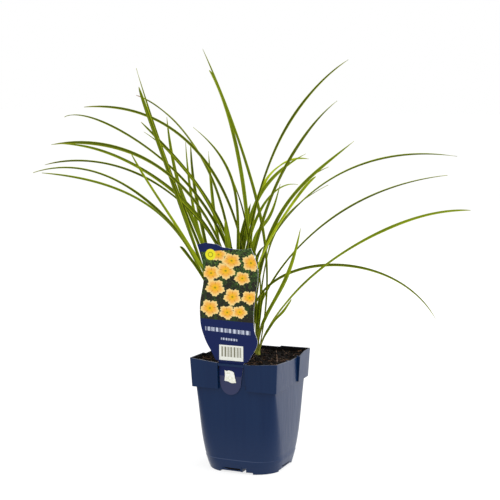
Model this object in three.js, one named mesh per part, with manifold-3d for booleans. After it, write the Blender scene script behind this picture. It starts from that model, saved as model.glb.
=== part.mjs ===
import * as THREE from 'three';
import { mergeVertices } from 'three/addons/utils/BufferGeometryUtils.js';
import Module from 'manifold-3d';

const wasm = await Module();
wasm.setup();

// A daylily in a square nursery pot. Lengths are in millimetres and angles in degrees. The origin is
// on the floor under the middle of the pot, whose front, with the label, faces -Y.

// Pot: a tapering body with a wider rim band, moulded in one piece. Its sides are named front, right,
// back and left, each a quarter turn from the one before.
const potHeight = 136;
const rimHalf = 55.3;
const bandFoot = 101.5;
const bandFootHalf = 53.5;
const bandCorner = 1.6;
const bodyHalf = 50.3;
const bodyPull = 5.4;
const bodyCurve = 4.5;
const bodyTop = 131.5;
const curveTop = bandFoot - 2;
const footBends = [6, 12];
const sideBends = [28, 44, 66];
const cavityBends = [12, 34, 62];
const cornerAtBand = 4.6;
const cornerGrowth = 28;
const cornerCurve = 0.9;
const cornerAngles = [22.5, 45, 67.5];
const wall = 1.2;
const sideBow = 0.5;
const seamHeight = 16.3;
const seamStep = 0.3;
const seamHalf = 0.3;
const sidePlaces = [-1, -0.66, -0.33, 0.33, 0.66, 1];
const rimShoulder = 12;
const recessHalf = 16.5;
const recessFoot = 96;
const strapFoot = 129.6;
const strapTop = 132.4;
const strapSetback = 0.2;
const openLift = 6;
const outside = 70;

// How far the rim sags at each of the sidePlaces, where the recess in the band has its middle, its back
// wall and the top of that wall, and from where to where the foot of the wall has a slot and a notch. The
// front recess goes right back to the body.
const shortSlot = { slot: [-17, 6], notch: [8.5, 13] };
const longSlot = { slot: [-16, 27] };
const potSides = {
  front: {
    rimDips: [0, 1.7, 3.4, 3.4, 1.7, 0], recessShift: -3, recessBack: 47.7, recessTop: bodyTop,
    ...shortSlot,
  },
  right: {
    rimDips: [0, 1.2, 2.6, 4, 0, 0], recessShift: 2, recessBack: 52, recessTop: 131, ...longSlot,
  },
  back: {
    rimDips: [0, 0.2, 0.3, 0.3, 0.2, 0], recessShift: 0, recessBack: 52, recessTop: 135.4, ...shortSlot,
  },
  left: {
    rimDips: [0, 0.5, 1, 1, 0.5, 0], recessShift: 0, recessBack: 52, recessTop: 134.6, ...longSlot,
  },
};

// Foot of the pot: four corner feet reach the floor, with channels between them and a raised middle.
const footHalf = 21;
const channelHeight = 2.2;
const floorTop = 3.6;
const slotTop = 6.2;
const slotMargin = 0.2;
const footWidth = 9;
const raisedHeight = 7;
const postRadius = 5;
const drainRadius = 4;
const drainReach = 25;

// Soil
const clearance = 0.4;
const soilTop = 130;
const soilFoot = 4;
const crownRise = 1.4;
const crownMiddle = [-12, 4];
const crownSpread = 30;
const lumpRise = 1.1;
const crumbRise = 0.7;
const soilCells = 16;
const holeFoot = 115.6;
const holeClearance = 0.4;

// Label: a printed plate with a wavy outline that ends in a tongue behind the strap of the pot.
const labelPlane = -51.9;
const labelThickness = 0.8;
const labelWave = 1.6;
const labelFlatTop = 136;
const labelFreeFrom = 190;
const labelColumns = 6;
const labelRows = 33;
const labelRiseRows = 4;
const labelTopRise = [0, 2.5, 1.9, -1.5, -2.4, -2.7, 0];
const stickerThickness = 0.3;
const stickerGap = 0.3;

// Fans: leaf blades that rise from a short sheath set into the soil.
const sheathFoot = 116;
const sheathHalf = [3.4, 2.9];
const sheathTaper = [[0, 1], [15, 1], [21, 0.8], [33, 0.5]];
const sheathSides = 10;
const leafFoot = 128;
const leafThickness = 0.62;
const leafNeck = 0.6;
const leafSwell = 1.4;
const leafPoint = 0.1;
const leafSteps = 10;
const foldAtFoot = 38;
const foldOpen = 62;

// Each leaf is an arch in an upright plane: its heading from +X, then how far out and how high the
// two handles of the arch and the tip are, then its flat width and how far it turns on its length.
const fans = [
  {
    name: 'fan_1', at: [2, 16], facing: 15,
    leaves: [
      [355, [20, 215], [165, 315], [264, 318], 7.5, 30],
      [3, [0, 190], [35, 190], [54, 286], 7.5, -30],
      [188, [-20, 230], [-20, 300], [68, 496], 5.5, 60],
      [43, [-55, 260], [170, 270], [240, 160], 4.5, 50],
      [333, [15, 175], [50, 185], [60, 206], 5, -10],
      [83, [-5, 180], [10, 200], [14, 208], 7, 20],
      [223, [5, 190], [-15, 210], [10, 272], 5, -5],
      [323, [0, 200], [-25, 235], [14, 264], 5.5, -15],
    ],
  },
  {
    name: 'fan_2', at: [-8, 25], facing: 50,
    leaves: [
      [31, [-15, 175], [55, 325], [240, 344], 8, -20],
      [48, [-35, 230], [65, 395], [290, 362], 6, -35],
      [63, [5, 305], [60, 320], [168, 382], 8.5, 0],
      [68, [20, 205], [10, 320], [136, 350], 5, -55],
      [38, [20, 230], [0, 290], [95, 333], 5, -20],
      [81, [-20, 265], [-15, 375], [137, 359], 9, -30],
      [85, [-30, 335], [25, 240], [73, 331], 5, 60],
      [130, [10, 190], [20, 220], [42, 236], 5.5, 30],
    ],
  },
  {
    name: 'fan_3', at: [-5, -4], facing: 345,
    leaves: [
      [353, [-15, 225], [10, 410], [132, 482], 7, 50],
      [338, [-20, 190], [30, 370], [142, 437], 5, -15],
      [323, [-35, 230], [130, 345], [152, 357], 9, 60],
      [217, [-20, 230], [20, 440], [189, 429], 8.5, -30],
      [253, [45, 260], [-35, 335], [91, 407], 6, -10],
      [238, [-20, 250], [0, 310], [29, 363], 5.5, -20],
    ],
  },
  {
    name: 'fan_4', at: [-19, 9], facing: 70,
    leaves: [
      [163, [-45, 320], [35, 460], [47, 471], 9, 10],
      [148, [35, 260], [95, 200], [118, 382], 5, -60],
      [73, [-15, 215], [25, 345], [114, 329], 5, 0],
      [53, [0, 260], [0, 330], [93, 370], 9, 5],
      [88, [-20, 275], [5, 265], [32, 311], 7.5, 50],
      [133, [20, 195], [105, 255], [116, 370], 7, 30],
    ],
  },
  {
    name: 'fan_5', at: [-21, -7], facing: 40,
    leaves: [
      [223, [-10, 185], [100, 395], [236, 357], 7, 20],
      [235, [-30, 215], [50, 410], [230, 390], 9, -40],
      [208, [-45, 275], [80, 380], [107, 411], 8, -30],
      [213, [-35, 220], [35, 355], [104, 400], 6, 10],
      [195, [10, 180], [20, 210], [30, 224], 5.5, 30],
      [150, [20, 190], [85, 300], [87, 380], 8, 20],
    ],
  },
  {
    name: 'fan_6', at: [-34, 9], facing: 345,
    leaves: [
      [201, [35, 265], [70, 335], [223, 349], 8, 30],
      [191, [-45, 270], [100, 380], [208, 382], 5, -50],
      [181, [-50, 265], [110, 390], [250, 353], 6, 40],
      [171, [-75, 320], [205, 435], [249, 412], 5.5, -10],
      [161, [30, 270], [50, 220], [157, 474], 7.5, 10],
      [148, [-50, 305], [75, 415], [213, 439], 8, 35],
      [134, [55, 295], [200, 265], [237, 410], 7, -60],
    ],
  },
  {
    name: 'fan_7', at: [-14, -19], facing: 60,
    leaves: [
      [219, [-10, 190], [100, 330], [122, 377], 8, 15],
      [209, [5, 195], [60, 265], [64, 266], 8, -30],
      [221, [55, 290], [105, 425], [113, 452], 7, 30],
      [268, [5, 205], [15, 260], [22, 300], 7, 30],
    ],
  },
];

const radians = THREE.MathUtils.degToRad;

// Solids and meshes

function solidOf(geometry) {
  const bare = geometry.clone();
  bare.deleteAttribute('normal');
  bare.deleteAttribute('uv');
  const merged = mergeVertices(bare, 1e-4);
  const vertProperties = merged.attributes.position.array;
  const triVerts = Uint32Array.from(merged.index.array);
  return new wasm.Manifold(new wasm.Mesh({ numProp: 3, vertProperties, triVerts }));
}

function geometryOf(solid) {
  const mesh = solid.getMesh();
  const geometry = new THREE.BufferGeometry();
  geometry.setAttribute('position', new THREE.BufferAttribute(mesh.vertProperties, 3));
  geometry.setIndex(new THREE.BufferAttribute(mesh.triVerts, 1));
  geometry.computeVertexNormals();
  return geometry;
}

// Joins rings of points into a closed solid. capTriangles fill the two end rings, and the sides named
// in turned are split along their other diagonal.
function loft(rings, capTriangles = null, turned = []) {
  const count = rings[0].length;
  const last = (rings.length - 1) * count;
  const triangles = [];
  for (let ring = 0; ring < rings.length - 1; ring++) {
    const low = ring * count;
    const high = low + count;
    for (let side = 0; side < count; side++) {
      const next = (side + 1) % count;
      if (turned.includes(side)) {
        triangles.push(low + side, low + next, high + side, low + next, high + next, high + side);
      } else {
        triangles.push(low + side, low + next, high + next, low + side, high + next, high + side);
      }
    }
  }
  const caps = capTriangles ?? rings[0].slice(2).map((_, index) => [0, index + 1, index + 2]);
  for (const [a, b, c] of caps) {
    triangles.push(a, c, b, last + a, last + b, last + c);
  }
  const geometry = new THREE.BufferGeometry().setFromPoints(rings.flat());
  geometry.setIndex(triangles);
  return geometry;
}

function box(from, to) {
  const low = new THREE.Vector3(...from);
  const size = new THREE.Vector3(...to).sub(low);
  const geometry = new THREE.BoxGeometry(size.x, size.y, size.z);
  geometry.translate(low.x + size.x / 2, low.y + size.y / 2, low.z + size.z / 2);
  return solidOf(geometry);
}

function cylinder(x, y, radius, foot, top, sides = 20) {
  const geometry = new THREE.CylinderGeometry(radius, radius, top - foot, sides);
  geometry.rotateX(Math.PI / 2);
  geometry.translate(x, y, (foot + top) / 2);
  return solidOf(geometry);
}

// Pot

function bodyAt(height) {
  const drop = Math.max(0, 1 - height / curveTop);
  return {
    half: bodyHalf - bodyPull * drop ** bodyCurve + (height < seamHeight ? seamStep : 0),
    corner: cornerAtBand + cornerGrowth * drop ** cornerCurve,
  };
}

// A square outline with round corners and slightly bowed sides. sideHeight gives the height at each
// place along a side, from -1 at one corner to 1 at the other.
function squareRing(half, corner, sideHeight) {
  const straight = half - corner;
  const points = [];
  Object.values(potSides).forEach((side, index) => {
    const turn = radians(90 * index - 90);
    const add = (x, y, z) => {
      points.push(new THREE.Vector3(x, y, z).applyAxisAngle(new THREE.Vector3(0, 0, 1), turn));
    };
    for (const place of sidePlaces) {
      add(half + sideBow * (1 - place * place), place * straight, sideHeight(place, side));
    }
    for (const angle of cornerAngles.map(radians)) {
      add(straight + corner * Math.cos(angle), straight + corner * Math.sin(angle), sideHeight(1, side));
    }
  });
  return points;
}

function bodySolid(inset, foot) {
  const seam = [seamHeight - seamHalf, seamHeight + seamHalf];
  const bends = inset > 0 ? cavityBends : [...footBends, ...seam, ...sideBends];
  const rings = [foot, ...bends, curveTop, bodyTop].map((height) => {
    const { half, corner } = bodyAt(height);
    return squareRing(half - inset, Math.max(corner - inset, 1), () => height);
  });
  return solidOf(loft(rings));
}

// Turns a solid made for the front to the side with this index.
function sideTurn(solid, index) {
  return solid.rotate([0, 0, 90 * index]);
}

// Boxes in the recesses of the band. They reach past the back wall of each recess by reach.
function recessBoxes(half, reach, footOf) {
  const boxes = Object.values(potSides).map((side, index) => {
    const from = [side.recessShift - half, -outside, footOf(side)];
    const to = [side.recessShift + half, reach - side.recessBack, potHeight + openLift];
    return sideTurn(box(from, to), index);
  });
  return boxes.reduce((all, one) => all.add(one));
}

// The rim sags from each corner to the recess in the middle of the side.
function rimHeight(place, side) {
  return potHeight - side.rimDips[sidePlaces.indexOf(place)];
}

// The last ring carries the height of the rim inwards, over the side walls of the recesses.
function bandSolid(inset, lift) {
  const raisedRim = (place, side) => rimHeight(place, side) + lift;
  const rings = [
    squareRing(bandFootHalf - inset, bandCorner, () => bandFoot + inset),
    squareRing(rimHalf - inset, bandCorner, raisedRim),
    squareRing(rimHalf - rimShoulder, bandCorner, raisedRim),
  ];
  return solidOf(loft(rings)).subtract(recessBoxes(recessHalf + inset, inset, () => recessFoot));
}

// The outer form of the pot, drawn in all round by inset; lift raises its open top.
function potForm(inset, foot, lift) {
  const body = bodySolid(inset, foot);
  const raised = lift > 0 ? body.add(body.translate([0, 0, lift])) : body;
  return raised.add(bandSolid(inset, lift));
}

// The middle of the foot, inside the ring of the feet, drawn out all round by grow.
function middleBlock(grow, foot, top) {
  const { half, corner } = bodyAt(0);
  const inset = footWidth - grow;
  return solidOf(loft([foot, top].map((height) => squareRing(half - inset, corner - inset, () => height))));
}

// The raised middle of the floor and the roofs over the notches, drawn out all round by grow.
function raisedFloor(grow) {
  const top = raisedHeight + wall + grow;
  let floor = middleBlock(wall + grow, 0, top);
  Object.values(potSides).forEach(({ notch }, index) => {
    if (notch) {
      const low = notch[0] - wall - grow;
      const high = notch[1] + wall + grow;
      floor = floor.add(sideTurn(box([low, -outside, 0], [high, 0, top]), index));
    }
  });
  return floor;
}

function footCuts() {
  const low = -1;
  const inside = wall + slotMargin - bodyAt(slotTop).half;
  let cuts = box([-footHalf, -outside, low], [footHalf, outside, channelHeight])
    .add(box([-outside, -footHalf, low], [outside, footHalf, channelHeight]))
    .add(middleBlock(0, low, raisedHeight));
  Object.values(potSides).forEach(({ slot, notch }, index) => {
    const drain = cylinder(drainReach, 0, drainRadius, low, raisedHeight + wall + 1, 16);
    cuts = cuts.add(sideTurn(box([slot[0], -outside, low], [slot[1], inside, slotTop]).add(drain), index));
    if (notch) {
      cuts = cuts.add(sideTurn(box([notch[0], -outside, low], [notch[1], 0, raisedHeight]), index));
    }
  });
  return cuts;
}

function strap() {
  const half = recessHalf + wall / 2;
  const outer = rimHalf - strapSetback;
  const middle = potSides.front.recessShift;
  return box([middle - half, -outer, strapFoot], [middle + half, wall - outer, strapTop]);
}

function potGeometry() {
  const cavity = potForm(wall, floorTop, openLift);
  const aboveRecesses = recessBoxes(recessHalf, 2 * wall, (side) => side.recessTop);
  const floor = raisedFloor(0).intersect(bodySolid(0, 0));
  const shell = potForm(0, 0, 0).subtract(cavity).subtract(aboveRecesses).add(floor).subtract(footCuts());
  const post = cylinder(0, 0, postRadius, 0, raisedHeight + wall / 2, 24);
  return geometryOf(shell.add(post).add(strap()));
}

// Soil

function soilSurface(x, y) {
  const fromCrown = (x - crownMiddle[0]) ** 2 + (y - crownMiddle[1]) ** 2;
  const crown = crownRise * Math.exp(-fromCrown / crownSpread ** 2);
  const lumps = lumpRise * Math.sin(x * 0.31 + 0.6) * Math.cos(y * 0.27 - 0.4);
  const crumbs = crumbRise * Math.sin(x * 0.83 + 1.7) * Math.sin(y * 0.71 + 0.4);
  return soilTop + crown + lumps + crumbs;
}

function terrain() {
  const half = rimHalf + 2;
  const size = (2 * half) / soilCells;
  const rings = [];
  for (let row = 0; row <= soilCells; row++) {
    const y = half - row * size;
    const ring = [new THREE.Vector3(-half, y, soilFoot), new THREE.Vector3(half, y, soilFoot)];
    for (let column = soilCells; column >= 0; column--) {
      const x = -half + column * size;
      ring.push(new THREE.Vector3(x, y, soilSurface(x, y)));
    }
    rings.push(ring);
  }
  return solidOf(loft(rings));
}

function sheathRing(fan, height, halves) {
  const turn = radians(fan.facing);
  const ring = [];
  for (let side = 0; side < sheathSides; side++) {
    const angle = radians((360 / sheathSides) * side);
    const point = new THREE.Vector3(halves[0] * Math.cos(angle), halves[1] * Math.sin(angle), height);
    point.applyAxisAngle(new THREE.Vector3(0, 0, 1), turn);
    ring.push(point.add(new THREE.Vector3(fan.at[0], fan.at[1], 0)));
  }
  return ring;
}

function soilGeometry() {
  const inset = wall + clearance;
  let soil = potForm(inset, soilFoot, openLift).intersect(terrain()).subtract(raisedFloor(clearance));
  for (const fan of fans) {
    const halves = sheathHalf.map((half) => half + holeClearance);
    const rings = [holeFoot, potHeight].map((height) => sheathRing(fan, height, halves));
    soil = soil.subtract(solidOf(loft(rings)));
  }
  return geometryOf(soil);
}

// Label: its left and right edges from the top down to the tongue, as x and z.

const labelLeft = new THREE.SplineCurve([
  [-47, 270], [-39.6, 248], [-38, 228], [-42, 203], [-42.4, 186], [-41.2, 172.5], [-35.5, 156.5],
  [-27.5, 143.5], [-23.2, 136], [-19, 133.4], [-18.1, 118], [-16.5, 105], [-12, 98], [-6.5, 95.4],
].map(([x, z]) => new THREE.Vector2(x, z)));

const labelRight = new THREE.SplineCurve([
  [21.8, 268.8], [28.8, 249.5], [29.6, 233], [26.3, 213], [25, 193], [26.2, 174], [30.1, 159],
  [22.5, 143.5], [17.3, 136], [13, 133.4], [10, 118], [8, 105], [3.2, 98], [-2.3, 95.4],
].map(([x, z]) => new THREE.Vector2(x, z)));

// The plate sways slightly above the pot and lies flat behind the strap.
function labelDepth(x, z) {
  const free = THREE.MathUtils.smoothstep(z, labelFlatTop, labelFreeFrom);
  return labelPlane - labelWave * free * Math.sin((z - 140) * 0.045 + x * 0.03);
}

function labelGeometry() {
  const rings = [];
  for (let row = 0; row <= labelRows; row++) {
    const left = labelLeft.getPoint(row / labelRows);
    const right = labelRight.getPoint(row / labelRows);
    const front = [];
    for (let column = 0; column <= labelColumns; column++) {
      const point = left.clone().lerp(right, column / labelColumns);
      const rise = labelTopRise[column] * Math.max(0, 1 - row / labelRiseRows);
      const z = point.y + rise;
      front.push(new THREE.Vector3(point.x, labelDepth(point.x, z), z));
    }
    const back = front.map((point) => point.clone().setY(point.y + labelThickness)).reverse();
    rings.push([...front, ...back]);
  }
  const caps = [];
  const end = 2 * labelColumns + 1;
  for (let column = 0; column < labelColumns; column++) {
    caps.push([column, column + 1, end - column - 1], [column, end - column - 1, end - column]);
  }
  const turned = Array.from({ length: labelColumns }, (_, index) => labelColumns + 1 + index);
  return loft(rings.reverse(), caps, turned);
}

// Sticker: a torn scrap of paper on the tongue.

function stickerGeometry() {
  const outline = [
    [-11.3, 124.3], [-8.6, 123.4], [-6, 124.4], [-1.6, 123.6], [1, 121.6], [2, 115.5], [3, 110],
    [-3.4, 109.6], [-7.2, 111.3], [-11.4, 111.8], [-11, 118],
  ].map(([x, z]) => new THREE.Vector2(x, z));
  const shape = new THREE.Shape(outline);
  const geometry = new THREE.ExtrudeGeometry(shape, { depth: stickerThickness, bevelEnabled: false });
  geometry.rotateX(Math.PI / 2);
  geometry.translate(0, labelPlane - stickerGap, 0);
  return geometryOf(solidOf(geometry));
}

// Fans

function leafWidth(place) {
  const swell = Math.min(1, leafNeck + leafSwell * place);
  const taper = (1 - place ** 10) ** 0.8;
  return swell * Math.max(taper, leafPoint);
}

// One blade: a V of two arms, closed at its foot, opening and turning on its way to the tip.
function bladeSolid(fan, [heading, rise, arch, tip, width, turn]) {
  const out = new THREE.Vector3(Math.cos(radians(heading)), Math.sin(radians(heading)), 0);
  const across = new THREE.Vector3(-out.y, out.x, 0);
  const base = new THREE.Vector3(fan.at[0], fan.at[1], 0);
  const place = ([reach, height]) => base.clone().setZ(height).addScaledVector(out, reach);
  const spine = new THREE.CubicBezierCurve3(place([0, leafFoot]), place(rise), place(arch), place(tip));
  const rings = [];
  for (let step = 0; step <= leafSteps; step++) {
    const t = step / leafSteps;
    const along = spine.getTangent(t);
    const up = across.clone().cross(along).negate();
    const roll = radians(turn) * Math.sin(Math.min(1, 1.6 * t) * Math.PI / 2);
    const side = across.clone().applyAxisAngle(along, roll);
    const keel = up.applyAxisAngle(along, roll);
    const fold = radians(THREE.MathUtils.lerp(foldAtFoot, foldOpen, Math.min(1, 2.5 * t)));
    const arm = (width / 2) * leafWidth(t);
    const middle = spine.getPoint(t).addScaledVector(keel, -0.5 * arm * Math.cos(fold));
    const drop = keel.clone().multiplyScalar(-leafThickness / Math.sin(fold));
    const edge = (sign) => middle.clone()
      .addScaledVector(side, sign * arm * Math.sin(fold))
      .addScaledVector(keel, arm * Math.cos(fold));
    const upper = [edge(1), middle, edge(-1)];
    const lower = upper.map((point) => point.clone().add(drop)).reverse();
    rings.push([...upper, ...lower]);
  }
  return solidOf(loft(rings, [[0, 1, 4], [0, 4, 5], [1, 2, 3], [1, 3, 4]], [3, 4]));
}

function sheathSolid(fan) {
  const rings = sheathTaper.map(([rise, scale]) => {
    const halves = sheathHalf.map((half) => half * scale);
    return sheathRing(fan, sheathFoot + rise, halves);
  });
  return solidOf(loft(rings));
}

// The fan as one body, without the loose scraps and sealed pockets between crossing blades.
function fanGeometry(fan) {
  const joined = fan.leaves.reduce((solid, leaf) => solid.add(bladeSolid(fan, leaf)), sheathSolid(fan));
  const bodies = joined.decompose().sort((one, other) => other.volume() - one.volume());
  return geometryOf(bodies[0]);
}

// Materials

const potPlastic = new THREE.MeshStandardMaterial({ color: 0x22344f, roughness: 0.42, metalness: 0 });
const peat = new THREE.MeshStandardMaterial({ color: 0x2b1d14, roughness: 0.95, metalness: 0 });
const printedPlate = new THREE.MeshStandardMaterial({ color: 0x26305e, roughness: 0.4, metalness: 0 });
const paper = new THREE.MeshStandardMaterial({ color: 0xe9e7da, roughness: 0.8, metalness: 0 });
const foliage = new THREE.MeshStandardMaterial({ color: 0x6f8f18, roughness: 0.5, metalness: 0 });

function piece(name, geometry, material) {
  const mesh = new THREE.Mesh(geometry, material);
  mesh.name = name;
  return mesh;
}

const plant = new THREE.Group();
plant.add(piece('pot', potGeometry(), potPlastic));
plant.add(piece('soil', soilGeometry(), peat));
plant.add(piece('label', labelGeometry(), printedPlate));
plant.add(piece('sticker', stickerGeometry(), paper));
for (const fan of fans) {
  plant.add(piece(fan.name, fanGeometry(fan), foliage));
}

export default plant;
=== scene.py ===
import math
import random

import bmesh
import bpy
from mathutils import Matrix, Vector, noise


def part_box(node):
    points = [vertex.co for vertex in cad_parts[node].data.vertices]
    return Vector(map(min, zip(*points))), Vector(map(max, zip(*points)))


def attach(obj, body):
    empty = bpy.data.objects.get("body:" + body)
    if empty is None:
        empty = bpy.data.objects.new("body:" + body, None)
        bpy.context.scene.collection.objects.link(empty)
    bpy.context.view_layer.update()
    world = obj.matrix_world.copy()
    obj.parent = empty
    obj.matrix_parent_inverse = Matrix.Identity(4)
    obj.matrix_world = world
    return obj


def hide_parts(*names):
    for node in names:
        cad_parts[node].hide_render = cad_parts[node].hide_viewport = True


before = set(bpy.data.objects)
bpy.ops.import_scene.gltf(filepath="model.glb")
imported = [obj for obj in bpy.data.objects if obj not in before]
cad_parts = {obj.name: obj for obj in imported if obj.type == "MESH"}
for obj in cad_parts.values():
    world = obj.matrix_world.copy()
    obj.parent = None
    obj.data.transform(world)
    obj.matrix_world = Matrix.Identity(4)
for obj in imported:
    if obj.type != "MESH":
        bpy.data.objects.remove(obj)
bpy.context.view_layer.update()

print("frame loaded")


# Lengths in the dictionaries are millimetres and angles degrees.
def mm(length):
    return length / 1000


# Leaves edit mode, with nothing selected.
def putDown():
    if bpy.context.object and bpy.context.object.mode != "OBJECT":
        bpy.ops.object.mode_set(mode="OBJECT")
    bpy.ops.object.select_all(action="DESELECT")


def takeUp(*things):
    putDown()
    for thing in things:
        thing.select_set(True)
    bpy.context.view_layer.objects.active = things[0]
    return things[0]


def freshPiece(name):
    piece = bpy.context.object
    piece.name = name
    piece.data.name = name
    return piece


# Opens the piece in edit mode with the parts that pass the test selected.
def selectParts(piece, part, test):
    takeUp(piece)
    bpy.ops.object.mode_set(mode="EDIT")
    bpy.ops.mesh.select_mode(type=part)
    bpy.ops.mesh.select_all(action="DESELECT")
    mesh = bmesh.from_edit_mesh(piece.data)
    for item in {"VERT": mesh.verts, "EDGE": mesh.edges, "FACE": mesh.faces}[part]:
        item.select_set(bool(test(item)))
    bmesh.update_edit_mesh(piece.data)


def closeEdit():
    bpy.ops.object.mode_set(mode="OBJECT")


def settle(piece):
    takeUp(piece)
    bpy.ops.object.transform_apply(location=True, rotation=True, scale=True)
    return piece


# A copy of a piece with a mesh of its own.
def copied(model, name):
    piece = model.copy()
    piece.data = model.data.copy()
    piece.name = name
    bpy.context.scene.collection.objects.link(piece)
    return piece


def joined(name, things):
    takeUp(*things)
    if len(things) > 1:
        bpy.ops.object.join()
    return settle(freshPiece(name))


def applied(piece, kind, **settings):
    takeUp(piece)
    modifier = piece.modifiers.new(kind.lower(), kind)
    for name, value in settings.items():
        setattr(modifier, name, value)
    bpy.ops.object.modifier_apply(modifier=modifier.name)
    return piece


def combined(piece, other, operation):
    applied(piece, "BOOLEAN", object=other, operation=operation, solver="EXACT")
    bpy.data.objects.remove(other)
    return piece


def marked(piece, name, values):
    piece.data.attributes.new(name, "FLOAT", "POINT").data.foreach_set("value", values)


def smoothed(piece, angle):
    takeUp(piece)
    bpy.ops.object.shade_smooth_by_angle(angle=math.radians(angle))
    return piece


def cutter(low, high):
    bpy.ops.mesh.primitive_cube_add(size=1, location=[mm(a + b) / 2 for a, b in zip(low, high)])
    bpy.context.object.scale = [mm(b - a) for a, b in zip(low, high)]
    return settle(bpy.context.object)


def turned(thing, angle):
    thing.rotation_euler.z = math.radians(angle)
    return settle(thing)


def dress(piece, slot, *materials):
    for material in materials:
        piece.data.materials.append(material)
    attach(piece, "root")


# A new node. An input that is a socket is linked, and any other is set.
def addNode(tree, kind, inputs=None, **settings):
    node = tree.nodes.new(kind)
    for name, value in settings.items():
        setattr(node, name, value)
    for name, value in (inputs or {}).items():
        if isinstance(value, bpy.types.NodeSocket):
            tree.links.new(value, node.inputs[name])
        else:
            node.inputs[name].default_value = value
    return node


def calc(tree, operation, *values, clamp=False):
    inputs = dict(enumerate(values))
    return addNode(tree, "ShaderNodeMath", inputs, operation=operation, use_clamp=clamp).outputs[0]


def blend(tree, factor, first, second):
    inputs = {0: factor, 6: first, 7: second}
    return addNode(tree, "ShaderNodeMix", inputs, data_type="RGBA").outputs[2]


# Runs from low to high as value goes from start to end, and holds there.
def ranged(tree, value, start, end, low=0.0, high=1.0):
    inputs = {"Value": value, "From Min": start, "From Max": end, "To Min": low, "To Max": high}
    return addNode(tree, "ShaderNodeMapRange", inputs, interpolation_type="SMOOTHSTEP").outputs[0]


def newMaterial(name, **constants):
    material = bpy.data.materials.new(name)
    material.use_nodes = True
    tree = material.node_tree
    surface = tree.nodes["Principled BSDF"]
    for socket, value in constants.items():
        surface.inputs[socket].default_value = value
    return material, tree, surface


def newGroup(name, inputs, outputs):
    tree = bpy.data.node_groups.new(name, "ShaderNodeTree")
    for socket, value in inputs.items():
        kind = "NodeSocketVector" if value is None else "NodeSocketFloat"
        made = tree.interface.new_socket(socket, in_out="INPUT", socket_type=kind)
        if value is not None:
            made.default_value = value
    for socket in outputs:
        tree.interface.new_socket(socket, in_out="OUTPUT", socket_type="NodeSocketFloat")
    source = tree.nodes.new("NodeGroupInput")
    result = tree.nodes.new("NodeGroupOutput")
    return tree, source.outputs, result.inputs


def useGroup(tree, group, **inputs):
    return addNode(tree, "ShaderNodeGroup", inputs, node_tree=group).outputs


def objectPlace(tree):
    return addNode(tree, "ShaderNodeTexCoord").outputs["Object"]


# The three coordinates of a place, in millimetres.
def coordinates(tree, place):
    scaled = addNode(tree, "ShaderNodeVectorMath", {0: place, 1: (1000, 1000, 1000)}, operation="MULTIPLY")
    return addNode(tree, "ShaderNodeSeparateXYZ", {0: scaled.outputs[0]}).outputs


# The distance of (first, second) from the origin.
def distance(tree, first, second):
    squares = [calc(tree, "MULTIPLY", value, value) for value in (first, second)]
    return calc(tree, "SQRT", calc(tree, "ADD", *squares))


def grey(shade):
    return (shade, shade, shade, 1)


def bumped(tree, surface, height, strength, depth):
    inputs = {"Strength": strength, "Distance": mm(depth), "Height": height}
    bump = addNode(tree, "ShaderNodeBump", inputs)
    tree.links.new(bump.outputs["Normal"], surface.inputs["Normal"])


# Scale, detail and output of the two noises in the group.
patchNoises = [(1.0, 3.0, "Mask"), (5.3, 2.0, "Fine")]


# Uneven patches: a coarse and a fine noise, stretched by the axis scales.
def makePatchGroup():
    inputs = {"Place": None, "ScaleX": 100.0, "ScaleY": 100.0, "ScaleZ": 100.0, "Roughness": 0.6}
    tree, source, result = newGroup("unevenPatches", inputs, ["Mask", "Fine"])
    scales = addNode(tree, "ShaderNodeCombineXYZ", {axis: source["Scale" + axis] for axis in "XYZ"})
    stretch = {0: source["Place"], 1: scales.outputs[0]}
    place = addNode(tree, "ShaderNodeVectorMath", stretch, operation="MULTIPLY").outputs[0]
    for scale, detail, output in patchNoises:
        inputs = {"Vector": place, "Scale": scale, "Detail": detail, "Roughness": source["Roughness"]}
        tree.links.new(addNode(tree, "ShaderNodeTexNoise", inputs).outputs[0], result[output])
    return tree


patchGroup = makePatchGroup()
unevenRange = (0.3, 0.7)  # the part of a noise that a roughness follows


# Patches with this scale across, and this one upwards where it differs.
def patches(tree, place, across, upwards=None):
    return useGroup(tree, patchGroup, Place=place, ScaleX=across, ScaleY=across, ScaleZ=upwards or across)


# Where the camera stands, and the point over the middle of the plant that it looks at.
view = {
    "azimuth": 22.9, "elevation": 7.3, "distance": 1600, "lens": 97.2, "sensor": 36,
    "aimHeight": 259.8, "aimRight": -1.3,
}


# The way out from the middle of the plant, with the front at azimuth 0.
def wayOut(azimuth, elevation):
    turn, lift = math.radians(azimuth), math.radians(elevation)
    return Vector((math.sin(turn) * math.cos(lift), -math.cos(turn) * math.cos(lift), math.sin(lift)))


def makeCamera():
    back = wayOut(view["azimuth"], view["elevation"])
    right = wayOut(view["azimuth"] + 90, 0)
    aim = Vector((0, 0, mm(view["aimHeight"]))) + right * mm(view["aimRight"])
    bpy.ops.object.camera_add(location=aim + back * mm(view["distance"]))
    camera = bpy.context.object
    camera.rotation_mode = "QUATERNION"
    camera.rotation_quaternion = (-back).to_track_quat("-Z", "Y")
    camera.data.lens = view["lens"]
    camera.data.sensor_width = view["sensor"]
    bpy.context.scene.camera = camera


lamps = {
    "rightLamp": {"azimuth": 100, "elevation": 30, "distance": 2200, "size": 1800, "power": 22},
    "backLamp": {"azimuth": 155, "elevation": 12, "distance": 2400, "size": 1600, "power": 40},
    "leftLamp": {"azimuth": -60, "elevation": 40, "distance": 2400, "size": 1600, "power": 10},
    "topLamp": {"azimuth": 20, "elevation": 80, "distance": 2300, "size": 1800, "power": 12},
}
lampsAround = 200  # the height that the lamps turn about
skyStrength = 1.0


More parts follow.
